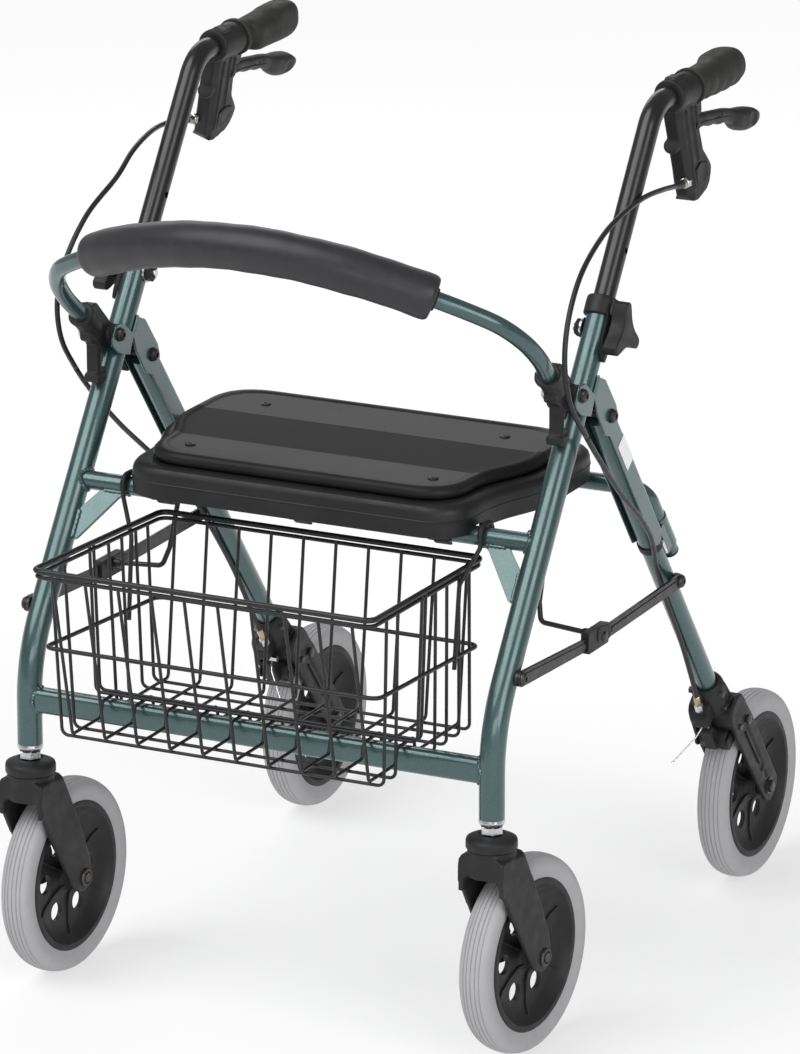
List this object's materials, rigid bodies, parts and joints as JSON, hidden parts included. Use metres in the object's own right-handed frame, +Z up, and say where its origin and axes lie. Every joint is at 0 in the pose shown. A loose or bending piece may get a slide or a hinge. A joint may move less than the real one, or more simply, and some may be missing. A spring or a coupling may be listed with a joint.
{
  "type": "rollator walker",
  "caption": "Folding four-wheeled walking frame with padded seat, curved backrest bar, loop-brake handles, front casters and a wire basket.",
  "frame": {"origin": "on the floor under the centre of the bounding box", "axes": "+Z up; -Y is the front, where the basket and casters are; +Y is the user's side; +X is the user's left"},
  "size_m": [0.5942, 0.842, 0.905],
  "materials": {
    "green_paint": "metallic green enamel, semi-gloss",
    "black_tube": "gloss black enamel",
    "black_plastic": "satin, lightly textured",
    "black_wire": "black coating on steel",
    "cable_jacket": "smooth black jacket",
    "grip_rubber": "matt",
    "tyre_grey": "matt grey tread",
    "foam": "matt closed-cell foam",
    "bright_steel": "bright zinc plate"
  },
  "bodies": {
    "front_frame": {"front_leg_left": "green_paint", "front_leg_right": "green_paint", "upper_crossbar": "green_paint", "lower_crossbar": "green_paint", "hinge_bracket_left": "green_paint", "hinge_bracket_right": "green_paint", "receiver_collar_left": "black_plastic", "receiver_collar_right": "black_plastic", "leg_pivot_bolt_left": "bright_steel", "leg_pivot_bolt_right": "bright_steel", "backrest_bolt_left": "bright_steel", "backrest_bolt_right": "bright_steel", "brake_cable_left": "cable_jacket", "brake_cable_right": "cable_jacket"},
    "rear_frame": {"rear_leg_channel_left": "green_paint", "rear_leg_channel_right": "green_paint", "rear_leg_tube_left": "green_paint", "rear_leg_tube_right": "green_paint", "rear_cross_tube": "green_paint", "rear_fork_left": "black_plastic", "rear_fork_right": "black_plastic", "rear_axle_left": "bright_steel", "rear_axle_right": "bright_steel"},
    "seat": {"seat_shell": "black_plastic", "seat_pad": "black_plastic"},
    "backrest": {"backrest_tube": "green_paint", "backrest_pad": "foam", "backrest_bracket_left": "black_plastic", "backrest_bracket_right": "black_plastic"},
    "basket": {"basket": "black_wire"},
    "handle_left": {"handle_tube_left": "black_tube", "grip_left": "grip_rubber", "brake_housing_left": "black_plastic"},
    "lever_left": {"brake_lever_left": "black_plastic"},
    "knob_left": {"height_knob_left": "black_plastic"},
    "brake_arm_left": {"brake_arm_left": "black_plastic"},
    "caster_left": {"front_fork_left": "black_plastic", "front_axle_left": "bright_steel"},
    "front_wheel_left": {"front_tyre_left": "tyre_grey", "front_rim_left": "black_plastic"},
    "rear_wheel_left": {"rear_tyre_left": "tyre_grey", "rear_rim_left": "black_plastic"},
    "front_link_left": {"front_link_left": "black_wire"},
    "rear_link_left": {"rear_link_left": "black_wire"},
    "lift_rod_left": {"lift_rod_left": "black_wire"},
    "handle_right": {"handle_tube_right": "black_tube", "grip_right": "grip_rubber", "brake_housing_right": "black_plastic"},
    "lever_right": {"brake_lever_right": "black_plastic"},
    "knob_right": {"height_knob_right": "black_plastic"},
    "brake_arm_right": {"brake_arm_right": "black_plastic"},
    "caster_right": {"front_fork_right": "black_plastic", "front_axle_right": "bright_steel"},
    "front_wheel_right": {"front_tyre_right": "tyre_grey", "front_rim_right": "black_plastic"},
    "rear_wheel_right": {"rear_tyre_right": "tyre_grey", "rear_rim_right": "black_plastic"},
    "front_link_right": {"front_link_right": "black_wire"},
    "rear_link_right": {"rear_link_right": "black_wire"},
    "lift_rod_right": {"lift_rod_right": "black_wire"}
  },
  "joints": [
    {"name": "rear_fold", "type": "hinge", "parent": "front_frame", "child": "rear_frame", "pos_m": [0.00603, -0.067, 0.602], "axis": [-1, 0, 0], "range_deg": [0, 35]},
    {"name": "seat_lift", "type": "hinge", "parent": "front_frame", "child": "seat", "pos_m": [0.00603, -0.197, 0.504], "axis": [1, 0, 0], "range_deg": [0, 65.4]},
    {"name": "backrest_flip", "type": "hinge", "parent": "front_frame", "child": "backrest", "pos_m": [0.00603, -0.1362, 0.6398], "axis": [-1, 0, 0], "range_deg": [0, 80]},
    {"name": "basket_unhook", "type": "slide", "parent": "front_frame", "child": "basket", "axis": [0, 0, -1], "range_m": [-0.018, 0]},
    {"name": "front_link_left", "type": "hinge", "parent": "front_frame", "child": "front_link_left", "pos_m": [0.26103, -0.273, 0.392], "axis": [1, 0, 0], "range_deg": [0, 41.5]},
    {"name": "rear_link_left", "type": "hinge", "parent": "front_link_left", "child": "rear_link_left", "pos_m": [0.26103, -0.092, 0.383], "axis": [-1, 0, 0], "range_deg": [0, 108.7]},
    {"name": "lift_rod_left", "type": "hinge", "parent": "seat", "child": "lift_rod_left", "pos_m": [0.20903, -0.057, 0.514], "axis": [-1, 0, 0], "range_deg": [0, 43.4]},
    {"name": "handle_height_left", "type": "slide", "parent": "front_frame", "child": "handle_left", "axis": [0, 0.5606, 0.8281], "range_m": [-0.045, 0.05], "deforming": ["brake_cable_left"]},
    {"name": "brake_lever_left", "type": "hinge", "parent": "handle_left", "child": "lever_left", "pos_m": [0.26103, 0.145, 0.848], "axis": [1, 0, 0], "range_deg": [0, 10], "stiffness_Nm_per_rad": 10, "springref_deg": -5.73},
    {"name": "brake_arm_left", "type": "hinge", "parent": "rear_frame", "child": "brake_arm_left", "pos_m": [0.26103, 0.2601, 0.1919], "axis": [1, 0, 0], "range_deg": [0, 4.5]},
    {"name": "height_knob_left", "type": "hinge", "parent": "front_frame", "child": "knob_left", "pos_m": [0.26103, -0.0716, 0.6888], "axis": [1, 0, 0], "continuous": true},
    {"name": "caster_swivel_left", "type": "hinge", "parent": "front_frame", "child": "caster_left", "pos_m": [0.26103, -0.303, 0.25], "axis": [0, 0, 1], "continuous": true},
    {"name": "front_wheel_spin_left", "type": "hinge", "parent": "caster_left", "child": "front_wheel_left", "pos_m": [0.26699, -0.2433, 0.1], "axis": [0.9951, -0.0993, 0], "continuous": true},
    {"name": "rear_wheel_spin_left", "type": "hinge", "parent": "rear_frame", "child": "rear_wheel_left", "pos_m": [0.26103, 0.321, 0.1], "axis": [1, 0, 0], "continuous": true},
    {"name": "front_link_right", "type": "hinge", "parent": "front_frame", "child": "front_link_right", "pos_m": [-0.24897, -0.273, 0.392], "axis": [1, 0, 0], "range_deg": [0, 41.5]},
    {"name": "rear_link_right", "type": "hinge", "parent": "front_link_right", "child": "rear_link_right", "pos_m": [-0.24897, -0.092, 0.383], "axis": [-1, 0, 0], "range_deg": [0, 108.7]},
    {"name": "lift_rod_right", "type": "hinge", "parent": "seat", "child": "lift_rod_right", "pos_m": [-0.19697, -0.057, 0.514], "axis": [-1, 0, 0], "range_deg": [0, 43.4]},
    {"name": "handle_height_right", "type": "slide", "parent": "front_frame", "child": "handle_right", "axis": [0, 0.5606, 0.8281], "range_m": [-0.045, 0.05], "deforming": ["brake_cable_right"]},
    {"name": "brake_lever_right", "type": "hinge", "parent": "handle_right", "child": "lever_right", "pos_m": [-0.26134, 0.145, 0.85007], "axis": [0.9455, 0, -0.3256], "range_deg": [0, 10], "stiffness_Nm_per_rad": 10, "springref_deg": -5.73},
    {"name": "brake_arm_right", "type": "hinge", "parent": "rear_frame", "child": "brake_arm_right", "pos_m": [-0.24897, 0.2601, 0.1919], "axis": [1, 0, 0], "range_deg": [0, 4.5]},
    {"name": "height_knob_right", "type": "hinge", "parent": "front_frame", "child": "knob_right", "pos_m": [-0.24897, -0.0716, 0.6888], "axis": [1, 0, 0], "continuous": true},
    {"name": "caster_swivel_right", "type": "hinge", "parent": "front_frame", "child": "caster_right", "pos_m": [-0.24897, -0.303, 0.25], "axis": [0, 0, 1], "continuous": true},
    {"name": "front_wheel_spin_right", "type": "hinge", "parent": "caster_right", "child": "front_wheel_right", "pos_m": [-0.24583, -0.24308, 0.1], "axis": [0.9986, -0.0523, 0], "continuous": true},
    {"name": "rear_wheel_spin_right", "type": "hinge", "parent": "rear_frame", "child": "rear_wheel_right", "pos_m": [-0.24897, 0.321, 0.1], "axis": [1, 0, 0], "continuous": true}
  ],
  "couplings": [
    {"joint": "seat_lift", "follows": "rear_fold", "ratio": 1.866},
    {"joint": "front_link_left", "follows": "rear_fold", "ratio": 1.184},
    {"joint": "rear_link_left", "follows": "rear_fold", "ratio": 3.104},
    {"joint": "lift_rod_left", "follows": "rear_fold", "ratio": 1.239},
    {"joint": "brake_arm_left", "follows": "brake_lever_left", "ratio": 0.45},
    {"joint": "front_link_right", "follows": "rear_fold", "ratio": 1.184},
    {"joint": "rear_link_right", "follows": "rear_fold", "ratio": 3.104},
    {"joint": "lift_rod_right", "follows": "rear_fold", "ratio": 1.239},
    {"joint": "brake_arm_right", "follows": "brake_lever_right", "ratio": 0.45}
  ]
}
